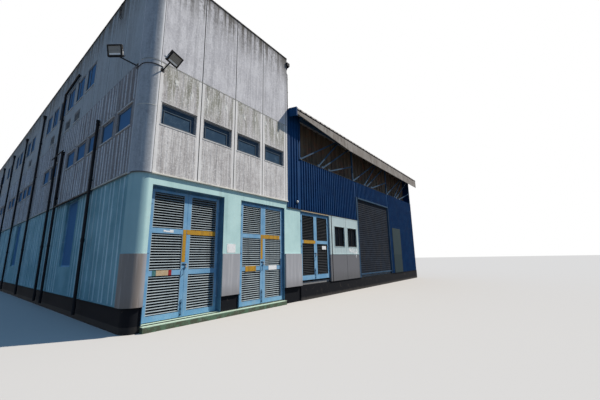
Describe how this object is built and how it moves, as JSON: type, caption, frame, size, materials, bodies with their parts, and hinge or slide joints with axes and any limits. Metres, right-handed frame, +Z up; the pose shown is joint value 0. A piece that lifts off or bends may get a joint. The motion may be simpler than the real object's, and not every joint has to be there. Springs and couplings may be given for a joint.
{
  "type": "warehouse",
  "caption": "Three-storey precast panel block with a rounded corner and louvred steel doors, joined to a lower steel-clad shed with a roller shutter.",
  "frame": {"origin": "middle of the office block's footprint at the lowest ground contact", "axes": "+X along the front towards the shed, +Y from the front into the building, +Z up"},
  "size_m": [20.8039, 30.1021, 9.63],
  "materials": {
    "slab_concrete": "matt concrete",
    "panel_concrete": "weathered precast concrete, matt",
    "teal_render": "painted render, matt",
    "dado_grey": "smooth painted render",
    "kerb_green": "painted concrete, worn",
    "window_frame": "painted steel, weathered",
    "window_glass": "dirty clear glass",
    "door_blue": "blue gloss paint, faded",
    "louvre_grey": "pale grey paint, dusty",
    "pale_panel": "pale paint, satin",
    "blue_sheet": "blue coated steel sheet",
    "brown_sheet": "bare rusty steel sheet",
    "roof_sheet": "weathered coated steel sheet",
    "eave_board": "faded beige paint",
    "blue_steel": "blue painted steel",
    "shutter_steel": "dark painted steel",
    "pipe_black": "black pipe, satin",
    "lamp_black": "black powder coat"
  },
  "bodies": {
    "building": {"ground_slab": "slab_concrete", "corner_ground": "teal_render", "front_ground_wall": "teal_render", "side_ground_wall": "teal_render", "rear_ground_wall": "teal_render", "east_ground_wall": "teal_render", "corner_upper": "panel_concrete", "front_panels_first": "panel_concrete", "front_panels_top": "panel_concrete", "side_panels_first": "panel_concrete", "side_panels_top": "panel_concrete", "rear_panels": "panel_concrete", "east_panels": "panel_concrete", "upper_floors": "slab_concrete", "office_roof": "slab_concrete", "window_frames": "window_frame", "blue_window_frames": "door_blue", "window_glass": "window_glass", "grey_dado": "dado_grey", "door_kerb": "kerb_green", "door_frames": "door_blue", "shed_base_walls": "slab_concrete", "shed_floor": "slab_concrete", "shed_front_pier": "teal_render", "shed_front_panels": "pale_panel", "shed_window_frames": "pale_panel", "shed_window_glass": "window_glass", "blue_front_sheets": "blue_sheet", "blue_return": "blue_sheet", "brown_sheets": "brown_sheet", "blue_end_sheets": "blue_sheet", "blue_rear_sheets": "blue_sheet", "shed_roof": "roof_sheet", "eave_board": "eave_board", "portal_frames": "blue_steel", "clerestory_frame": "blue_steel", "roller_shutter": "shutter_steel", "shutter_posts": "blue_steel", "downpipes": "pipe_black", "lamp_arms": "lamp_black", "flood_lamps": "lamp_black"},
    "door_1_left": {"door_1_left_leaf": "door_blue", "door_1_left_blades": "louvre_grey"},
    "door_1_right": {"door_1_right_leaf": "door_blue", "door_1_right_blades": "louvre_grey"},
    "door_2_left": {"door_2_left_leaf": "door_blue", "door_2_left_blades": "louvre_grey"},
    "door_2_right": {"door_2_right_leaf": "door_blue", "door_2_right_blades": "louvre_grey"},
    "door_3_left": {"door_3_left_leaf": "door_blue", "door_3_left_blades": "louvre_grey"},
    "door_3_right": {"door_3_right_leaf": "door_blue", "door_3_right_blades": "louvre_grey"}
  },
  "joints": [
    {"name": "door_1_left_hinge", "type": "hinge", "parent": "building", "child": "door_1_left", "pos_m": [-2.172, -14.512, 0.168], "axis": [0, 0, -1], "range_deg": [0, 90]},
    {"name": "door_1_right_hinge", "type": "hinge", "parent": "building", "child": "door_1_right", "pos_m": [-0.218, -14.512, 0.168], "axis": [0, 0, 1], "range_deg": [0, 90]},
    {"name": "door_2_left_hinge", "type": "hinge", "parent": "building", "child": "door_2_left", "pos_m": [0.538, -14.612, 0.168], "axis": [0, 0, -1], "range_deg": [0, 90]},
    {"name": "door_2_right_hinge", "type": "hinge", "parent": "building", "child": "door_2_right", "pos_m": [2.432, -14.612, 0.168], "axis": [0, 0, 1], "range_deg": [0, 90]},
    {"name": "door_3_left_hinge", "type": "hinge", "parent": "building", "child": "door_3_left", "pos_m": [3.478, -14.652, 0.718], "axis": [0, 0, -1], "range_deg": [0, 90]},
    {"name": "door_3_right_hinge", "type": "hinge", "parent": "building", "child": "door_3_right", "pos_m": [5.382, -14.652, 0.718], "axis": [0, 0, 1], "range_deg": [0, 90]}
  ]
}
